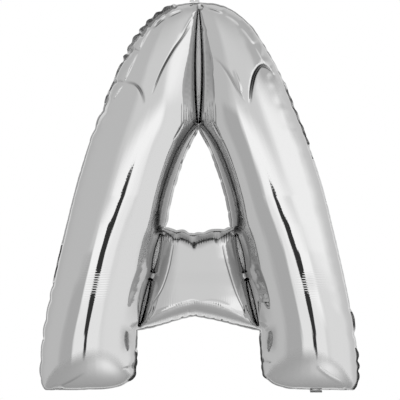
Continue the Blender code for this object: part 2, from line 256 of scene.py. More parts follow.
def rim(name, line, width, direction, lobes):
    """A strip along a sealed line. It waves from front to back where the film gathers."""
    away = outward(line) * direction
    for _ in range(3):
        away = 0.5 * away + 0.25 * (np.roll(away, 1, axis=0) + np.roll(away, -1, axis=0))
    size = len(line)
    wave = np.interp(np.arange(size) / RIM_WAVE_POINTS, np.arange(size), chance.normal(0, 1, size))
    run = np.cumsum(np.linalg.norm(np.roll(line, -1, axis=0) - line, axis=1))
    wide = width * (1 + RIM_UNEVEN * wave)
    bend = RIM_WAVE * wave + RIM_BENT_BACK
    for on_outside, side, top, bottom, length, reach in lobes:
        here = (line[:, 0] * side > 0) & (line[:, 1] < top) & (line[:, 1] > bottom)
        here &= (away[:, 0] * side > LOBE_FACING) == on_outside
        wide[here] += reach * np.abs(np.sin(np.pi * run[here] / length)) ** LOBE_POWER
        bend[here] = LOBE_WAVE * wave[here] - (UPPER_LOBE_SLOPE * wide[here] if top > 0 else 0)
    rows = []
    for row in range(RIM_ROWS + 1):
        share = row / RIM_ROWS
        flat = line + away * (share * wide)[:, None]
        rows.append(np.column_stack([flat[:, 0], share * bend, flat[:, 1]]))
    return new_piece(name, np.vstack(rows), strip_faces(RIM_ROWS, size, closed=True), sealed_finish)


outer_rim = rim("outer_rim", outer_line, RIM_WIDTH - FILM_OVER_RIM, 1, RIM_LOBES)
window_rim = rim("window_rim", window_line, RIM_WIDTH, -1, [])
for piece, node in ((outer_rim, "outer_seam"), (window_rim, "window_seam")):
    make_finer(piece)
    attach(piece, "root")
    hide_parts(node)

# The welds. Above the window and at each end of the crossbar a hot bar has also welded the sheets
# to each other, along slim lenses that draw the letter's valleys. Their flat webs are crumpled,
# because the film beside them is longer. Gas enters the crossbar between upper and lower weld.

# name, one end, other end, half width, on which sides
WELDS = [("apex_weld", (0.0, 413.0), (0.0, 159.0), 3.8, (1,)),
         ("crossbar_weld_upper", (82.0, -83.0), (101.5, -168.0), 3.4, (-1, 1)),
         ("crossbar_weld_lower", (105.0, -178.5), (130.0, -284.0), 2.1, (-1, 1))]
WELD_STEP = 3.5
LENS_POWER = 0.9
WEB_COLUMNS = 4
WEB_CRUMPLE = 0.16


def lens_line(start, end, half_width):
    """The closed outline of a slim lens from one end to the other."""
    start, end = np.asarray(start, float), np.asarray(end, float)
    along = (end - start) / math.dist(start, end)
    share = np.linspace(0, 1, round(math.dist(start, end) / WELD_STEP) + 1)
    middle = start + np.outer(share, end - start)
    away = np.outer(half_width * np.sin(np.pi * share) ** LENS_POWER, (-along[1], along[0]))
    return np.vstack([middle + away, (middle - away)[-2:0:-1]])


weld_lines = {}
for name, start, end, half_width, sides in WELDS:
    for side in sides:
        full_name = name if len(sides) == 1 else name + ("_right" if side > 0 else "_left")
        weld_lines[full_name] = lens_line((start[0] * side, start[1]), (end[0] * side, end[1]), half_width)

# metallised nylon film, welded by a hot bar: its metal has gone dull and has waves 8 mm long, so
# it is a soft pale grey beside the mirror of the blown film
WEB_WAVES_TO_A_METRE = 120.0
web_finish = bare_material("metallised_nylon_film_hot_bar_welded")
tree = web_finish.node_tree
place = add_node(tree, "ShaderNodeTexCoord").outputs["Object"]
waves = add_node(tree, "ShaderNodeTexNoise", Vector=place, Scale=WEB_WAVES_TO_A_METRE, Detail=1.0)
wavy = add_node(tree, "ShaderNodeBump", Height=waves.outputs["Fac"], Strength=0.5, Distance=0.0010)
skin = add_node(tree, "ShaderNodeBsdfPrincipled", Base_Color=srgb("#cccccc"), Metallic=1.0, Roughness=0.42,
                Normal=wavy.outputs["Normal"])
add_node(tree, "ShaderNodeOutputMaterial", Surface=skin.outputs["BSDF"])

for name, line in weld_lines.items():
    half = len(line) // 2
    left = line[:half + 1]
    right = np.vstack([line[0], line[:half - 1:-1]])[:half + 1]
    rows = []
    for column in range(WEB_COLUMNS + 1):
        share = column / WEB_COLUMNS
        flat = left + (right - left) * share
        high = chance.normal(0, WEB_CRUMPLE, len(flat)) * (4 * share * (1 - share))
        rows.append(np.column_stack([flat[:, 0], high, flat[:, 1]]))
    faces = strip_faces(WEB_COLUMNS, len(left), closed=False)
    web = new_piece(name + "_web", np.vstack(rows), faces, web_finish)
    make_finer(web)
    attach(web, "root")
    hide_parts(name)

# The two sheets of film, of metallised nylon 0.04 mm thick. Each was flat, and the gas has blown
# it into tubes as round as the seams allow. It hardly stretches, so the film that the curved
# seams leave over stands in puckers along them.

# Folds that the gas leaves in the blown film. Each is a line of (x, z) points, its height (below 0
# for a valley), how far it spreads to the left and to the right of the way that it runs, and how
# it fades to its ends: 0.5 is blunt and 1.5 slow.
FOLDS = [
    # the gathered lobes along the left shoulder's seam, and the flatter ones of the right shoulder
    ([(-26, 416), (-45, 409), (-67, 397)], 6.5, 5.5, 11.0, 0.5),
    ([(-70, 396), (-86, 384), (-100, 371)], 8.0, 5.5, 13.0, 0.5),
    ([(-102, 369), (-118, 345), (-132, 317)], 9.5, 6.0, 14.0, 0.5),
    ([(-133, 313), (-149, 281), (-164, 248)], 9.0, 6.0, 15.0, 0.5),
    ([(-165, 245), (-178, 224), (-190, 207)], 8.0, 5.5, 14.0, 0.5),
    ([(-191, 204), (-202, 180), (-211, 156)], 5.0, 5.5, 13.0, 0.5),
    ([(10, 415), (33, 409), (54, 400)], 8.5, 11.0, 5.5, 0.5),
    ([(58, 396), (74, 386), (90, 372)], 3.6, 12.0, 5.0, 0.5),
    ([(93, 368), (108, 350), (121, 330)], 3.6, 12.0, 5.0, 0.5),
    ([(124, 326), (137, 302), (148, 280)], 3.6, 12.0, 5.0, 0.5),
    # the sharp lines on their inside, and two that run in between lobes
    ([(-34, 404), (-51, 397), (-67, 387)], -2.6, 2.6, 2.6, 0.7),
    ([(-72, 386), (-85, 376), (-98, 363)], -3.6, 2.6, 2.6, 0.7),
    ([(-152, 320), (-140, 320), (-127, 315)], -2.8, 2.4, 2.4, 0.8),
    ([(-184, 249), (-172, 250), (-160, 247)], -2.2, 2.4, 2.4, 0.8),
    # the crescents where the legs begin under the shoulders
    ([(-162, 248), (-150, 246), (-138, 242), (-128, 232), (-121, 216), (-118, 196)], -4.0, 4.6, 4.6, 1.2),
    ([(112, 196), (113, 220), (117, 246), (124, 268), (137, 283), (151, 277), (165, 257)],
     -14.0, 4.8, 4.8, 1.2),
    # the long folds that fan out from the apex
    ([(-17, 373), (-40, 338), (-54, 318), (-76, 279), (-89, 250), (-101, 218)], -5.0, 3.0, 3.0, 0.8),
    ([(-13, 396), (-25, 374), (-37, 351)], 2.6, 4.0, 4.0, 1.0),
    ([(17, 364), (24, 330), (31, 296), (34, 270)], 1.2, 8.0, 3.5, 1.0),
    ([(32, 305), (62, 268), (90, 218), (102, 200)], -2.6, 5.0, 3.6, 1.0),
    ([(76, 276), (86, 250), (94, 224)], 3.2, 4.0, 6.0, 1.0),
    # beside the window's top
    ([(-31, 162), (-40, 145), (-54, 122)], -2.2, 2.6, 2.6, 1.2),
    ([(28, 164), (37, 146), (50, 122)], -2.8, 2.8, 2.8, 1.2),
    # the gathers of the window's sill
    ([(-48, -74), (-47, -102)], -3.6, 5.0, 5.0, 0.5),
    ([(-10, -88), (-10, -116)], -4.6, 5.0, 5.0, 0.5),
    ([(39, -78), (40, -104)], -3.6, 5.0, 5.0, 0.5),
    # the crossbar's two sides, the arc of its lower right and the crease at its foot's notch
    ([(-55, -104), (-60, -134), (-66, -162), (-81, -204), (-109, -246)], -1.8, 2.4, 2.4, 0.5),
    ([(52, -104), (58, -134), (70, -176), (82, -212), (99, -248)], -1.8, 2.4, 2.4, 0.5),
    ([(-21, -252), (-6, -236), (14, -228), (41, -229), (67, -240), (96, -260)], 1.3, 6.0, 10.0, 1.2),
    ([(-20, -246), (-20, -262)], -1.6, 2.6, 2.6, 0.5),
    # short creases across the insides of the legs
    ([(-141, -370), (-152, -372), (-165, -376)], -2.0, 3.0, 3.0, 0.7),
    ([(141, -358), (152, -361), (160, -362)], -2.0, 3.0, 3.0, 0.7),
    # the feet
    ([(-248, -384), (-282, -405), (-314, -421)], -1.8, 3.0, 4.0, 0.8),
    ([(256, -368), (288, -392), (322, -412)], 3.4, 5.0, 7.0, 0.8),
]

# the mesh has an even grid of points, and closer rows along the seams, the welds and the folds,
# where the film turns most: their distances in millimetres, or in shares of a fold's spread
FILM_CELL = 6.8
GRID_HALF_WIDTH, GRID_HALF_HEIGHT = 354, 430
EDGE_ROWS = (1.8, 5.0, 9.5)
HOLE_ROWS = (0.6, 2.0, 4.4, 8.2, 13.0)
# a row's point stays if it is at least this share of the row's distance from its own seam
ROW_SHARE = 0.93
FOLD_STEP = 4.0
FOLD_ROWS = (0.0, 0.35, 0.7, 1.1)
FOLD_WIDEST_ROW = 8.0
FOLD_CLEAR = 1.2
holes = [window_line, *weld_lines.values()]
lines = [outer_line, *holes]
fold_lines = [curve_through(fold[0], FOLD_STEP) for fold in FOLDS]


def inside(points, loop):
    """Which points lie inside a loop."""
    found = np.zeros(len(points), bool)
    for (x0, z0), (x1, z1) in zip(loop, np.roll(loop, -1, axis=0)):
        if z0 != z1:
            found ^= ((z0 > points[:, 1]) != (z1 > points[:, 1])) & (
                points[:, 0] < x0 + (x1 - x0) * (points[:, 1] - z0) / (z1 - z0))
    return found


def distance_to(points, line, closed=True):
    """How far each point is from a line, which is closed to a loop or open."""
    nearest = np.full(len(points), 1e9)
    ends = np.roll(line, -1, axis=0) if closed else line[1:]
    for a, b in zip(line, ends):
        share = np.clip(((points - a) @ (b - a)) / max((b - a) @ (b - a), 1e-9), 0, 1)
        nearest = np.minimum(nearest, np.linalg.norm(points - a - share[:, None] * (b - a), axis=1))
    return nearest


def rows_beside(line, direction, distances):
    """Points in rows along a seam, apart from those that come nearer to another seam."""
    away = outward(line) * direction
    others = [other for other in lines if other is not line]
    beside_line = []
    for distance in distances:
        row = line + away * distance
        own = distance_to(row, line)
        to_others = np.minimum.reduce([distance_to(row, other) for other in others])
        beside_line.append(row[(own > ROW_SHARE * distance) & (own < to_others)])
    return np.vstack(beside_line)


def fold_points(line, spread_left, spread_right):
    """Rows of points along a fold, closer together where it is steep."""
    run = np.gradient(line, axis=0)
    right = np.column_stack([run[:, 1], -run[:, 0]]) / np.linalg.norm(run, axis=1)[:, None]
    left_rows = [line - right * share * min(spread_left, FOLD_WIDEST_ROW) for share in FOLD_ROWS]
    right_rows = [line + right * share * min(spread_right, FOLD_WIDEST_ROW) for share in FOLD_ROWS[1:]]
    return np.vstack(left_rows + right_rows)


levels = np.arange(-GRID_HALF_HEIGHT, GRID_HALF_HEIGHT, FILM_CELL * 3 ** 0.5 / 2)
grid = np.array([(x + (k % 2) * FILM_CELL / 2, z) for k, z in enumerate(levels)
                 for x in np.arange(-GRID_HALF_WIDTH, GRID_HALF_WIDTH, FILM_CELL)])
grid = grid[inside(grid, outer_line)]
grid = grid[distance_to(grid, outer_line) > EDGE_ROWS[-1] + 0.6 * FILM_CELL]
for hole in holes:
    grid = grid[~inside(grid, hole) & (distance_to(grid, hole) > HOLE_ROWS[-1] + 0.6 * FILM_CELL)]
hole_rows = [rows_beside(hole, 1, HOLE_ROWS) for hole in holes]
grid = np.vstack([grid, rows_beside(outer_line, -1, EDGE_ROWS), *hole_rows])
folded = np.empty((0, 2))
for line, (_, _, spread_left, spread_right, _) in zip(fold_lines, FOLDS):
    widest = 1.1 * min(max(spread_left, spread_right), FOLD_WIDEST_ROW)
    grid = grid[distance_to(grid, line, closed=False) > widest + 0.4 * FILM_CELL]
    row = fold_points(line, spread_left, spread_right)
    row = row[distance_to(row, outer_line) > EDGE_ROWS[-1]]
    for hole in holes:
        row = row[distance_to(row, hole) > HOLE_ROWS[-1] + FOLD_CLEAR]
    if len(folded):
        row = row[[np.hypot(*(folded - point).T).min() > FOLD_CLEAR for point in row]]
    folded = np.vstack([folded, row])
grid = np.vstack([grid, folded])
grid = grid[inside(grid, outer_line)]
for hole in holes:
    grid = grid[~inside(grid, hole)]

line_edges, first = [], 0
for line in lines:
    line_edges += [(first + k, first + (k + 1) % len(line)) for k in range(len(line))]
    first += len(line)
found = delaunay_2d_cdt([tuple(p) for p in np.vstack([*lines, grid])], line_edges, [], 0, 1e-6)
flat_points = np.array([tuple(p) for p in found[0]])
triangles = np.array(found[2])
middle = flat_points[triangles].mean(axis=1)
kept = inside(middle, outer_line)
for hole in holes:
    kept &= ~inside(middle, hole)
triangles = triangles[kept]
a, b, c = (flat_points[triangles[:, k]] for k in range(3))
twice = (b - a)[:, 0] * (c - a)[:, 1] - (b - a)[:, 1] * (c - a)[:, 0]
triangles = np.where((twice < 0)[:, None], triangles[:, ::-1], triangles)[np.abs(twice) > 0.1]
count = len(flat_points)
all_edges = np.concatenate([triangles[:, pair] for pair in ([0, 1], [1, 2], [2, 0])])
film_edges, uses = np.unique(np.sort(all_edges, axis=1), axis=0, return_counts=True)
on_seam = np.zeros(count, bool)
on_seam[film_edges[uses == 1].ravel()] = True
one, other = film_edges.T
neighbours = np.bincount(film_edges.ravel(), minlength=count)


def neighbours_mean(values):
    """For each point of the film, the mean of its neighbours' rows of values."""
    sums = [np.bincount(one, v[other], count) + np.bincount(other, v[one], count) for v in values.T]
    return np.column_stack(sums) / neighbours[:, None]


# the points between the rows are evened out, so that reflections run smoothly over them
outer_reach = distance_to(flat_points, outer_line)
hole_reach = np.minimum.reduce([distance_to(flat_points, hole) for hole in holes])
fold_reach = np.minimum.reduce([distance_to(flat_points, line, closed=False) for line in fold_lines])
loose = (outer_reach > EDGE_ROWS[-1] + 1) & (hole_reach > HOLE_ROWS[-1] + 1)
loose &= fold_reach > 1.1 * FOLD_WIDEST_ROW + 1
for _ in range(6):
    flat_points[loose] += 0.6 * (neighbours_mean(flat_points) - flat_points)[loose]
level = flat_points[:, 1]
a, b, c = (flat_points[triangles[:, k]] for k in range(3))
area = np.abs((b - a)[:, 0] * (c - a)[:, 1] - (b - a)[:, 1] * (c - a)[:, 0]) / 2


def swollen(points, triangles, area, fixed):
    """The height u of an evenly loaded membrane over the letter. The blown film stands at the
    root of 2u, which is a half circle over a straight tube."""
    first, second, weight = [], [], []
    for k in range(3):
        i, j, o = triangles[:, k], triangles[:, (k + 1) % 3], points[triangles[:, (k + 2) % 3]]
        first.append(i)
        second.append(j)
        weight.append(((points[i] - o) * (points[j] - o)).sum(axis=1) / (4 * area))
    first, second, weight = map(np.concatenate, (first, second, weight))
    free = (~fixed).astype(float)
    scale = np.bincount(first, weight, count) + np.bincount(second, weight, count)
    rest = np.bincount(triangles.ravel(), np.repeat(area / 3, 3), count) * free
    goal = 1e-6 * np.linalg.norm(rest)
    height, push = np.zeros(count), rest / scale
    power = rest @ push
    while np.linalg.norm(rest) > goal:
        flow = weight * (push[first] - push[second])
        pull = (np.bincount(first, flow, count) - np.bincount(second, flow, count)) * free
        step = power / (push @ pull)
        height += step * push
        rest = rest - step * pull
        power, last = rest @ (rest / scale), power
        push = rest / scale + power / last * push
    return height


membrane = swollen(flat_points, triangles, area, on_seam)
depth = np.sqrt(2 * np.maximum(membrane, 0))

# Beside a weld the walls of the two tubes press on each other over the weld, up to this height,
# and only then lean apart. Height above level, height of the lips:
LIP_Z = [-284, -180, -83, 150, 230, 413]
LIP_HEIGHT = [40, 31, 16, 18, 13, 8]
LIP_REACH = 24.0
LIP_CLEAR = 18.0
LIP_SHARE = 0.45
LIP_FULL = 50
WALL_STEP = 0.4
weld_reach = np.minimum.reduce([distance_to(flat_points, line) for line in weld_lines.values()])
to_window = distance_to(flat_points, window_line)
lip = np.interp(level, LIP_Z, LIP_HEIGHT)
near_weld = np.clip(1 - weld_reach / LIP_REACH, 0, 1)
near_weld *= np.clip(np.minimum(outer_reach, to_window) / LIP_CLEAR, 0, 1)
risen = 1 - np.exp(-weld_reach / WALL_STEP)
share = LIP_SHARE * np.clip(lip / LIP_FULL, 0, 1)
depth = depth * (1 - share * near_weld) + lip * risen * near_weld

# The crossbar is a pillow between its welds. Its face leans back towards the window and turns
# under at a crease, because its foot is wider than its top. Height and depth of the face:
BAR_FACE_Z = [-300, -250, -236, -218, -192, -163, -137, -110, -80]
BAR_FACE_DEPTH = [90, 93, 91, 86, 77.5, 66.5, 58, 51, 45]
BAR_FACE_RADIUS = 230.0
# its side walls: how far in they reach the face, by height, and the share that they rise at once
BAR_WALL_Z = [-284, -241, -118, -80]
BAR_WALL_REACH = [20, 24, 31, 33]
BAR_STEP_SHARE = 0.42
BAR_WALL_POWER = 0.8
BAR_EDGE = 3.0
# its walls over the foot and the sill: how steep they are, and how softly each turns to the face
FOOT_WALL, FOOT_SOFT = 17.5, 7.0
SILL_WALL, SILL_SOFT = 10.5, 3.0
SIDE_SOFT = 2.5
(_, upper_from, upper_to, _, _), (_, lower_from, lower_to, _, _) = WELDS[1:]
bar_corners = np.array([WINDOW_SILL[0], upper_from, upper_to, lower_from, lower_to, CROSSBAR_FOOT[0]])
bar_side = even_points(bar_corners, LINE_STEP)
bar_loop = np.vstack([bar_side, (-CROSSBAR_LEAN, CROSSBAR_FOOT[-1][1]),
                      bar_side[::-1] * (-1, 1), (-CROSSBAR_LEAN, WINDOW_SILL[-1][1])])


def both_sides(edge):
    """An edge of the right half and its mirror image, as one open line with its notch drawn over."""
    half = curve_through(edge, LINE_STEP)
    return leaned(np.vstack([half, half[-2::-1] * (-1, 1)]))


mirrored = np.column_stack([np.abs(flat_points[:, 0]), level])
to_side = distance_to(mirrored, bar_side, closed=False)
to_foot = distance_to(flat_points, both_sides(CROSSBAR_FOOT), closed=False)
to_sill = distance_to(flat_points, both_sides(WINDOW_SILL), closed=False)
on_bar = inside(flat_points, bar_loop)
wall_reach = np.interp(level, BAR_WALL_Z, BAR_WALL_REACH)
side_x = np.interp(level, bar_corners[::-1, 1], bar_corners[::-1, 0]) - wall_reach
face_middle = np.interp(level, BAR_FACE_Z, BAR_FACE_DEPTH) - BAR_FACE_RADIUS
face = face_middle + np.sqrt(np.maximum(BAR_FACE_RADIUS ** 2 - flat_points[:, 0] ** 2, 0))
face_edge = face_middle + np.sqrt(BAR_FACE_RADIUS ** 2 - side_x ** 2)
side_wall = face_edge * (BAR_STEP_SHARE * (1 - np.exp(-to_side / WALL_STEP))
                         + (1 - BAR_STEP_SHARE) * (to_side / wall_reach) ** BAR_WALL_POWER)
pillow = face
for wall, soft in ((FOOT_WALL * np.sqrt(to_foot), FOOT_SOFT), (SILL_WALL * np.sqrt(to_sill), SILL_SOFT),
                   (side_wall, SIDE_SOFT)):
    pillow = -soft * np.logaddexp(-pillow / soft, -wall / soft)
in_bar = on_bar * np.clip(to_side / BAR_EDGE, 0, 1)
depth += (np.maximum(pillow, 0) * (1 - on_seam) - depth) * in_bar
depth *= 1 - on_seam
blown = np.column_stack([flat_points[:, 0], -depth, level])

# where each point of the film lay in the flat cut, from the slope of the membrane
turned = [np.column_stack([-v[:, 1], v[:, 0]]) for v in (c - b, a - c, b - a)]
slope_of = sum(membrane[triangles[:, k], None] * turned[k] for k in range(3)) / (2 * area[:, None])
slope = [np.bincount(triangles.ravel(), np.repeat(slope_of[:, k] * area, 3), count) for k in (0, 1)]
slope = np.column_stack(slope) / np.bincount(triangles.ravel(), np.repeat(area, 3), count)[:, None]
steep = np.linalg.norm(slope, axis=1) + 1e-9
round_depth = np.sqrt(2 * np.maximum(membrane, 0))
angle = np.arctan2(steep, round_depth)
radius = np.hypot(round_depth, steep)
cut_points = flat_points - slope / steep[:, None] * (radius * (angle - np.sin(angle)))[:, None]
a, b, c = (cut_points[triangles[:, k]] for k in range(3))

# how much longer the film is than the line that it now has to lie along, as far as it is let out
# in puckers beside the outer seam. The welds, the window and the feet hold it smooth.
FILM_MOST_SPARE = 0.035
SPARE_REACH = 36.0
WELD_HOLD, WELD_HOLD_ENDS = 30.0, 80.0
FOOT_HOLD, FOOT_HOLD_ENDS = -385, -325
flat_run = np.linalg.norm(flat_points[one] - flat_points[other], axis=1)
run = np.hypot(flat_run, round_depth[one] - round_depth[other])
longer = np.linalg.norm(cut_points[one] - cut_points[other], axis=1) / run - 1
spare = np.zeros(count)
np.maximum.at(spare, one, np.clip(longer, 0, None))
np.maximum.at(spare, other, np.clip(longer, 0, None))
for _ in range(4):
    spare = 0.5 * spare + 0.5 * neighbours_mean(spare[:, None])[:, 0]
off_welds = np.clip((hole_reach - WELD_HOLD) / (WELD_HOLD_ENDS - WELD_HOLD), 0, 1)
spare = np.clip(spare, 0, FILM_MOST_SPARE) * (np.clip(1 - outer_reach / SPARE_REACH, 0, 1) ** 0.7 * off_welds)
spare *= (1 - in_bar) * np.clip((level - FOOT_HOLD) / (FOOT_HOLD_ENDS - FOOT_HOLD), 0, 1)
free_film = (1 - in_bar) * off_welds * (1 - on_seam)

GAS_PRESSURE = 1500
FILM_STIFFNESS = 600
FILM_BENDING = 0.01
FILM_MASS = 0.001
FILM_DAMPING = 5
GAS_STEPS = 14


def gassed(points):
    """The film after the gas has pressed it out between its fixed seams, with its spare length."""
    film = new_piece("film_in_the_press", points, triangles, None)
    held = film.vertex_groups.new(name="held")
    taut = film.vertex_groups.new(name="taut")
    for k in range(count):
        held.add([k], 1.0 - float(free_film[k]), "REPLACE")
        taut.add([k], 1.0 - float(spare[k]) / FILM_MOST_SPARE, "REPLACE")
    press = film.modifiers.new("press", "CLOTH")
    cloth = press.settings
    cloth.quality = 6
    cloth.mass = FILM_MASS
    cloth.tension_stiffness = cloth.compression_stiffness = cloth.shear_stiffness = FILM_STIFFNESS
    cloth.tension_damping = cloth.compression_damping = cloth.shear_damping = FILM_DAMPING
    cloth.bending_stiffness = FILM_BENDING
    cloth.vertex_group_mass = "held"
    cloth.vertex_group_shrink = "taut"
    cloth.shrink_min = -FILM_MOST_SPARE
    cloth.use_pressure = True
    cloth.uniform_pressure_force = GAS_PRESSURE
    cloth.effector_weights.gravity = 0
    press.collision_settings.use_collision = False
    press.point_cache.frame_end = GAS_STEPS
    for step in range(1, GAS_STEPS + 1):
        bpy.context.scene.frame_set(step)
    pressed = film.evaluated_get(bpy.context.evaluated_depsgraph_get()).to_mesh()
    result = np.zeros(count * 3)
    pressed.vertices.foreach_get("co", result)
    bpy.context.scene.frame_set(1)
    bpy.data.objects.remove(film)
    return result.reshape(-1, 3) * 1000


front = blown.copy()
moved = gassed(blown) - blown
for _ in range(3):
    moved = np.where(on_seam[:, None], 0, 0.5 * moved + 0.5 * neighbours_mean(moved))
front += moved

# the crowns of the legs stand a little outward, because their outer seams are the tighter ones:
# where the legs' middles are, and how much further out the film stands, by height above level
LEG_HALF_WIDTH = 105
LEG_INSIDE_FROM, LEG_INSIDE_FADE = 0.85, 0.25
AXIS_Z = [-430, -316, -53, 110, 200, 430]
AXIS_X = [241, 239, 176, 132, 105, 60]
OUTWARD_Z = [-430, -300, -200, -120, -60, 0, 430]
OUTWARD_LEFT = [0.12, 0.12, 0.115, 0.11, 0.07, 0.0, 0.0]
OUTWARD_RIGHT = [0.19, 0.18, 0.15, 0.12, 0.07, 0.0, 0.0]
across = (np.abs(front[:, 0]) - np.interp(front[:, 2], AXIS_Z, AXIS_X)) / LEG_HALF_WIDTH
in_leg = 1 - np.clip((-across - LEG_INSIDE_FROM) / LEG_INSIDE_FADE, 0, 1)
more = np.where(front[:, 0] < 0, np.interp(front[:, 2], OUTWARD_Z, OUTWARD_LEFT),
                np.interp(front[:, 2], OUTWARD_Z, OUTWARD_RIGHT))
front[:, 1] *= 1 + more * np.clip(across, -1, 1) * in_leg * (1 - in_bar)


def beside(points, line):
    """How far points lie to the right of an open line, and how far along it, from 0 to 1."""
    run = np.r_[0, np.cumsum(np.linalg.norm(np.diff(line, axis=0), axis=1))]
    nearest, share = np.full(len(points), 1e9), np.zeros(len(points))
    for k, (a, b) in enumerate(zip(line, line[1:])):
        t = np.clip(((points - a) @ (b - a)) / ((b - a) @ (b - a)), 0, 1)
        away = points - a - t[:, None] * (b - a)
        far = np.linalg.norm(away, axis=1) * np.where(away @ (b[1] - a[1], a[0] - b[0]) < 0, -1, 1)
        closer = np.abs(far) < np.abs(nearest)
        nearest[closer] = far[closer]
        share[closer] = (run[k] + t[closer] * (run[k + 1] - run[k])) / run[-1]
    return nearest, share


# the folds are added last, and a valley of this depth is a full crease, with the full painted shade
CREASE_FULL = 4.5
FOLD_OFF_SEAM = 4.0
rise, crease_pleats_and_shade = np.zeros(count), np.zeros(count)
for line, (_, height, spread_left, spread_right, fade) in zip(fold_lines, FOLDS):
    far, share = beside(flat_points, line)
    far = np.where(far < 0, -far / spread_left, far / spread_right)
    profile = np.sin(np.pi * share) ** fade * (0.5 + 0.5 * np.cos(np.pi * np.clip(far, 0, 1)))
    rise += height * profile
    crease_pleats_and_shade = np.maximum(crease_pleats_and_shade, profile * min(1, max(0, -height / CREASE_FULL)))
front[:, 1] -= rise * np.clip(outer_reach / FOLD_OFF_SEAM, 0, 1) * (1 - on_seam)


def spot(points, x, z, wide, high, power=2):
    """1 in the middle of an oval spot on the film, and 0 well outside it."""
    return np.exp(-((points[:, 0] - x) / wide) ** power - ((points[:, 1] - z) / high) ** power)


# Painted shade, and fine pleats that make the film rougher: how much of both the film has beside the
# window and the crossbar's welds by distance and by height above level, at the crossbar's sill, in
# two spots on the inside of each leg (x, z, half width, half height, how much), and in the creases.
WINDOW_PLEATS_AND_SHADE_REACH = [0, 3, 7, 12, 16, 21]
WINDOW_PLEATS_AND_SHADE = [0.3, 0.6, 0.85, 0.8, 0.4, 0]
WINDOW_PLEATS_AND_SHADE_Z = [-80, 20, 90, 150]
WINDOW_PLEATS_AND_SHADE_SHARE = [0.95, 0.85, 0.66, 0.34]
WELD_PLEATS_AND_SHADE_REACH = [0, 3, 10, 24, 38]
WELD_PLEATS_AND_SHADE = [0.2, 0.62, 0.5, 0.32, 0]
WELD_PLEATS_AND_SHADE_Z = [-300, -250, -180, -96, -70]
WELD_PLEATS_AND_SHADE_SHARE = [0, 0.55, 0.95, 1, 0]
LEG_PLEATS_AND_SHADE = [(103, -173, 6, 9, 0.95), (158, -309, 11, 26, 0.42)]
SILL_PLEATS_AND_SHADE, SILL_PLEATS_AND_SHADE_REACH = 0.66, 18.0
window_pleats_and_shade = np.interp(to_window, WINDOW_PLEATS_AND_SHADE_REACH, WINDOW_PLEATS_AND_SHADE)
window_pleats_and_shade *= np.interp(level, WINDOW_PLEATS_AND_SHADE_Z, WINDOW_PLEATS_AND_SHADE_SHARE)
weld_pleats_and_shade = np.interp(weld_reach, WELD_PLEATS_AND_SHADE_REACH, WELD_PLEATS_AND_SHADE) * (1 - on_bar)
weld_pleats_and_shade *= np.interp(level, WELD_PLEATS_AND_SHADE_Z, WELD_PLEATS_AND_SHADE_SHARE)
for *where, much in LEG_PLEATS_AND_SHADE:
    weld_pleats_and_shade = np.maximum(weld_pleats_and_shade, much * spot(mirrored, *where, power=4))
sill_pleats_and_shade = SILL_PLEATS_AND_SHADE * (np.clip(1 - to_sill / SILL_PLEATS_AND_SHADE_REACH, 0, 1) ** 0.5 * on_bar)
# painted shade: this share darkens the film's colour, and the same share makes it rougher
pleated_and_painted_shade = np.maximum.reduce([window_pleats_and_shade, sill_pleats_and_shade, weld_pleats_and_shade, crease_pleats_and_shade])

# how much it has rows of ripples, which is faintly beside the welds and fully in two spots on the
# legs' crowns (x, z, half width, half height)
WELD_RIPPLE, WELD_RIPPLE_REACH = 0.05, 16.0
RIPPLE_SPOTS = [(-217, -194, 20, 30), (238, -190, 20, 24)]
in_rows = WELD_RIPPLE * np.clip(1 - weld_reach / WELD_RIPPLE_REACH, 0, 1)
in_rows *= 1 - on_bar
for where in RIPPLE_SPOTS:
    in_rows += spot(flat_points, *where)

# how much it has columns of crimps, which is at the crossbar's sill and foot, in its crease and
# at the lower end of the apex weld (x, z, half width, half height)
CRIMP_SPOTS = [(-26, 178, 12, 22), (24, 178, 12, 22), (0, -234, 48, 13)]
SPOT_CRIMP = 0.9
FOOT_CRIMP = 0.5
SILL_CRIMP_AT, SILL_CRIMP_REACH = 14, 14.0
FOOT_CRIMP_AT, FOOT_CRIMP_REACH = 6, 10.0
in_columns = np.clip(1 - np.abs(to_sill - SILL_CRIMP_AT) / SILL_CRIMP_REACH, 0, 1) * on_bar
by_foot = np.clip(1 - np.abs(to_foot - FOOT_CRIMP_AT) / FOOT_CRIMP_REACH, 0, 1)
in_columns += FOOT_CRIMP * by_foot * on_bar
for where in CRIMP_SPOTS:
    in_columns += SPOT_CRIMP * spot(flat_points, *where)
measures = {"pleated_and_painted_shade": pleated_and_painted_shade, "rippled": in_rows, "crimped": in_columns, "across": across}

# vacuum-metallised nylon film, blown taut: a mirror, whose reflections waver only along bands of
# the drawn film, about 26 mm wide and 0.4 m long. Where it is pleated it is rougher, and shade is
# painted into its colour there, beside the window and the welds, at the sill, in spots on the legs
# and in the creases. The real ripples are 3 to 5 mm apart, and are drawn 5.2 mm apart so that they show.
BAND_WIDTH = 26.25
BAND_LENGTH = 1 / 2.4
RIPPLE_LENGTH = 0.0052
bands = LEG_HALF_WIDTH / BAND_WIDTH
film_finish = bare_material("metallised_nylon_film_blown")
tree = film_finish.node_tree
place = add_node(tree, "ShaderNodeTexCoord").outputs["Object"]
across_leg = add_node(tree, "ShaderNodeAttribute", {"attribute_name": "across"}).outputs["Fac"]
height = add_node(tree, "ShaderNodeSeparateXYZ", Vector=place).outputs["Z"]
along_leg = add_node(tree, "ShaderNodeMath", {"operation": "MULTIPLY"}, _0=height, _1=1 / BAND_LENGTH / bands)
lengthwise = add_node(tree, "ShaderNodeCombineXYZ", X=across_leg, Y=along_leg.outputs[0]).outputs[0]
swell = add_node(tree, "ShaderNodeTexNoise", Vector=lengthwise, Scale=bands, Detail=2.0, Roughness=0.5)
normal = add_node(tree, "ShaderNodeBump", Height=swell.outputs["Fac"], Strength=1.0, Distance=0.0006)
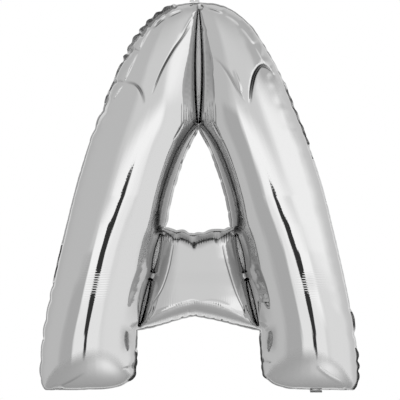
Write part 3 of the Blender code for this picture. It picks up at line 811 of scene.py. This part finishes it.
for name, direction, slope in (("rippled", "Z", 0.16), ("crimped", "X", 0.30)):
    wave = add_node(tree, "ShaderNodeTexWave", {"bands_direction": direction}, Vector=place,
                    Scale=math.pi / 10 / RIPPLE_LENGTH, Distortion=1.6, Detail=1.0, Detail_Scale=0.4)
    amount = add_node(tree, "ShaderNodeAttribute", {"attribute_name": name}).outputs["Fac"]
    high = add_node(tree, "ShaderNodeMath", {"operation": "MULTIPLY"}, _0=wave.outputs["Fac"], _1=amount)
    normal = add_node(tree, "ShaderNodeBump", Height=high.outputs[0], Normal=normal.outputs["Normal"],
                      Distance=slope * RIPPLE_LENGTH / math.pi)
pleat_and_shade_amount = add_node(tree, "ShaderNodeAttribute", {"attribute_name": "pleated_and_painted_shade"}).outputs["Fac"]
# painted shade: the film's grey #bcbcbc is darkened towards #6c6c6c by the painted shade share
painted_shade_tone = add_node(tree, "ShaderNodeMix", {"data_type": "RGBA"}, _0=pleat_and_shade_amount,
                _6=srgb("#bcbcbc"), _7=srgb("#6c6c6c"))
softness = add_node(tree, "ShaderNodeMapRange", Value=pleat_and_shade_amount, To_Min=0.035, To_Max=0.20)
skin = add_node(tree, "ShaderNodeBsdfPrincipled", Base_Color=painted_shade_tone.outputs[2], Metallic=1.0,
                Roughness=softness.outputs[0], Specular_Tint=srgb("#dedede"), Normal=normal.outputs["Normal"])
add_node(tree, "ShaderNodeOutputMaterial", Surface=skin.outputs["BSDF"])

front_sheet = new_piece("front_sheet", front, triangles, film_finish)
back_sheet = new_piece("back_sheet", front * (1, -1, 1), triangles[:, ::-1], film_finish)
for sheet, node in ((front_sheet, "front_film"), (back_sheet, "back_film")):
    for name, values in measures.items():
        sheet.data.attributes.new(name, "FLOAT", "POINT").data.foreach_set("value", values)
    make_finer(sheet)
    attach(sheet, "root")
    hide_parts(node)

# The hanging tab and the filling neck. Both are cut from the same two sheets and sealed with
# them. A thread goes through the tab's punched hole, and the neck, by which the gas went in, is
# folded back under the right foot. Their solids have the right shape and only take the finish.
for name in ("hanging_tab", "filling_neck"):
    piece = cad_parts[name]
    piece.data.materials.clear()
    piece.data.materials.append(sealed_finish)

# The studio. A pale room, dimmer on the left, with a broad soft light in front round the camera.
# A narrow dark gap in that light, where the camera looks through, shows as the streaks on the
# legs. A second soft light stands behind.

# the share of the light that the film gives back, by which the room is brighter than these greys,
# so that they are the greys that the film shows of each direction
FILM_SHOWS = 0.50
ROOM = "#c8c8c8"
# the soft lights and walls, each from and to degrees right of the camera, from and to degrees
# above level, how soft its sides and its ends are in degrees, and its grey
LIGHTS = [
    ("left wall", -165, -34, -70, 75, 20, 30, "#b6b6b6"),
    ("left floor", -120, -40, -100, -34, 40, 16, "#a0a0a0"),
    ("right wall", 30, 120, -70, 30, 34, 20, "#d6d6d6"),
    ("right of the back", 112, 160, -70, 60, 30, 24, "#c6c6c6"),
    ("back light, left half", -190, -158, -26, 20, 24, 20, "#d4d4d4"),
    ("back light, right half", 166, 190, -26, 20, 24, 20, "#dedede"),
    ("ceiling", -190, 190, 52, 100, 50, 40, "#b0b0b0"),
    ("ceiling on the right", 55, 150, 26, 85, 30, 14, "#acacac"),
    ("window on the right", 32, 94, 9, 28, 22, 12, "#ececec"),
    ("screen left of the front light", -58, -18, -60, 5, 14, 6, "#a5a5a5"),
    ("front light, lower part", -27, 30, -70, -6, 8, 8, "#dfdfdf"),
    ("front light", -25, 35, -7, 9, 8, 12, "#f0f0f0"),
]
# the gap: degrees above level, and its half width in degrees, with its soft edge counted in
GAP = [(-49, 0.0), (-44, 2.6), (-34, 4.2), (-22, 5.0), (-15, 6.0), (-10, 7.4), (-1, 8.0),
       (0.8, 7.0), (2.3, 0.0)]
GAP_BOTTOM, GAP_TOP = -50.0, 5.0
GAP_SOFT_EDGE = 1.5
GAP_EDGE_FROM, GAP_EDGE_TO = -0.7, 1.1
RAMP_DEGREES = 10
GAP_LIGHT = 0.03
world = bpy.data.worlds.new("studio")
bpy.context.scene.world = world
world.use_nodes = True
tree = world.node_tree
tree.nodes.clear()
from_middle = add_node(tree, "ShaderNodeTexCoord").outputs["Generated"]
toward = add_node(tree, "ShaderNodeSeparateXYZ", Vector=from_middle)
ahead = add_node(tree, "ShaderNodeMath", {"operation": "MULTIPLY"}, _0=toward.outputs["Y"], _1=-1.0)
radians = add_node(tree, "ShaderNodeMath", {"operation": "ARCTAN2"},
                   _0=toward.outputs["X"], _1=ahead.outputs[0])
turn = add_node(tree, "ShaderNodeMath", {"operation": "MULTIPLY"}, _0=radians.outputs[0], _1=180 / math.pi)
radians = add_node(tree, "ShaderNodeMath", {"operation": "ARCSINE"}, _0=toward.outputs["Z"])
lift = add_node(tree, "ShaderNodeMath", {"operation": "MULTIPLY"}, _0=radians.outputs[0], _1=180 / math.pi)
room = srgb(ROOM)
for _, left, right, low, high, soft_sides, soft_ends, grey in LIGHTS:
    covered = None
    for angle, start, end, soft in ((turn, left, right, soft_sides), (lift, low, high, soft_ends)):
        for limit, way in ((start, 1), (end, -1)):
            step = add_node(tree, "ShaderNodeMapRange", {"interpolation_type": "SMOOTHSTEP"},
                            Value=angle.outputs[0], From_Min=limit - way * soft / 2,
                            From_Max=limit + way * soft / 2).outputs[0]
            if covered is None:
                covered = step
            else:
                both = add_node(tree, "ShaderNodeMath", {"operation": "MULTIPLY"}, _0=covered, _1=step)
                covered = both.outputs[0]
    mixed = add_node(tree, "ShaderNodeMix", {"data_type": "RGBA"}, _0=covered, _6=room, _7=srgb(grey))
    room = mixed.outputs[2]

# the gap's half width comes from a colour ramp, which holds it as a share of 10 degrees
share_up = add_node(tree, "ShaderNodeMapRange", Value=lift.outputs[0], From_Min=GAP_BOTTOM, From_Max=GAP_TOP)
opening = add_node(tree, "ShaderNodeValToRGB", Fac=share_up.outputs[0])
stops = opening.color_ramp.elements
stops.remove(stops[1])
for k, (height, half) in enumerate(GAP):
    share = (height - GAP_BOTTOM) / (GAP_TOP - GAP_BOTTOM)
    stop = stops.new(share) if k else stops[0]
    stop.position = share
    stop.color = (half / RAMP_DEGREES,) * 3 + (1,)
half_gap = add_node(tree, "ShaderNodeMapRange", Value=opening.outputs["Color"], To_Min=-GAP_SOFT_EDGE,
                    To_Max=RAMP_DEGREES - GAP_SOFT_EDGE)
aside = add_node(tree, "ShaderNodeMath", {"operation": "ABSOLUTE"}, _0=turn.outputs[0])
clear_of = add_node(tree, "ShaderNodeMath", {"operation": "SUBTRACT"},
                    _0=aside.outputs[0], _1=half_gap.outputs[0])
edge = add_node(tree, "ShaderNodeMapRange", {"interpolation_type": "SMOOTHSTEP"}, Value=clear_of.outputs[0],
                From_Min=GAP_EDGE_FROM, From_Max=GAP_EDGE_TO)
lit = add_node(tree, "ShaderNodeMix", {"data_type": "RGBA"}, _0=edge.outputs[0],
               _6=(GAP_LIGHT, GAP_LIGHT, GAP_LIGHT, 1), _7=room)

# what the camera sees past the letter is plain white
direct = add_node(tree, "ShaderNodeLightPath").outputs["Is Camera Ray"]
seen = add_node(tree, "ShaderNodeMix", {"data_type": "RGBA"}, _0=direct, _6=lit.outputs[2],
                _7=(FILM_SHOWS, FILM_SHOWS, FILM_SHOWS, 1))
sky = add_node(tree, "ShaderNodeBackground", Color=seen.outputs[2], Strength=1 / FILM_SHOWS)
add_node(tree, "ShaderNodeOutputWorld", Surface=sky.outputs[0])
bpy.context.scene.view_settings.view_transform = "Standard"

# The floor, pale board well below the floating letter, which fades into the white room. A soft
# light low on the right, which shows in no reflection, makes the floor's right side brighter.
FLOOR_Z = -1.60
FLOOR_HALF = 3000
FADE_FROM, FADE_TO = 1.2, 2.6
# painted board: matt and even, with no gloss
floor_finish = bare_material("pale_board")
tree = floor_finish.node_tree
place = add_node(tree, "ShaderNodeTexCoord").outputs["Object"]
from_middle = add_node(tree, "ShaderNodeVectorMath", {"operation": "LENGTH"}, _0=place).outputs["Value"]
fade = add_node(tree, "ShaderNodeMapRange", {"interpolation_type": "SMOOTHSTEP"}, Value=from_middle,
                From_Min=FADE_FROM, From_Max=FADE_TO, To_Min=1.0, To_Max=0.0)
board = add_node(tree, "ShaderNodeBsdfPrincipled", Base_Color=srgb("#d4d4d4"), Roughness=0.8,
                 Alpha=fade.outputs[0])
add_node(tree, "ShaderNodeOutputMaterial", Surface=board.outputs["BSDF"])
corners = [(-FLOOR_HALF, -FLOOR_HALF, 0), (FLOOR_HALF, -FLOOR_HALF, 0), (FLOOR_HALF, FLOOR_HALF, 0),
           (-FLOOR_HALF, FLOOR_HALF, 0)]
floor = new_piece("floor", corners, [(0, 1, 2, 3)], floor_finish)
floor.location.z = FLOOR_Z
lamp = bpy.data.objects.new("floor_light", bpy.data.lights.new("floor_light", "AREA"))
lamp.data.size = 0.8
lamp.data.energy = 10.0
lamp.location = (0.75, -0.9, -0.85)
lamp.visible_glossy = lamp.visible_camera = False
bpy.context.scene.collection.objects.link(lamp)

# The camera, far off and level with the letter, so that its depth hardly changes its size. The
# letter's middle is a little off the picture's.
CAMERA_DISTANCE = 6.0
PICTURE_PIXELS = 400
METRES_PER_PIXEL = 0.0021939
PIXELS_RIGHT, PIXELS_UP = 1.4, -4
lens = bpy.data.cameras.new("camera")
lens.lens = lens.sensor_width * CAMERA_DISTANCE / (PICTURE_PIXELS * METRES_PER_PIXEL)
camera = bpy.data.objects.new("camera", lens)
camera.location = (PIXELS_RIGHT * METRES_PER_PIXEL, -CAMERA_DISTANCE, PIXELS_UP * METRES_PER_PIXEL)
camera.rotation_euler = (math.pi / 2, 0, 0)
bpy.context.scene.collection.objects.link(camera)
bpy.context.scene.camera = camera
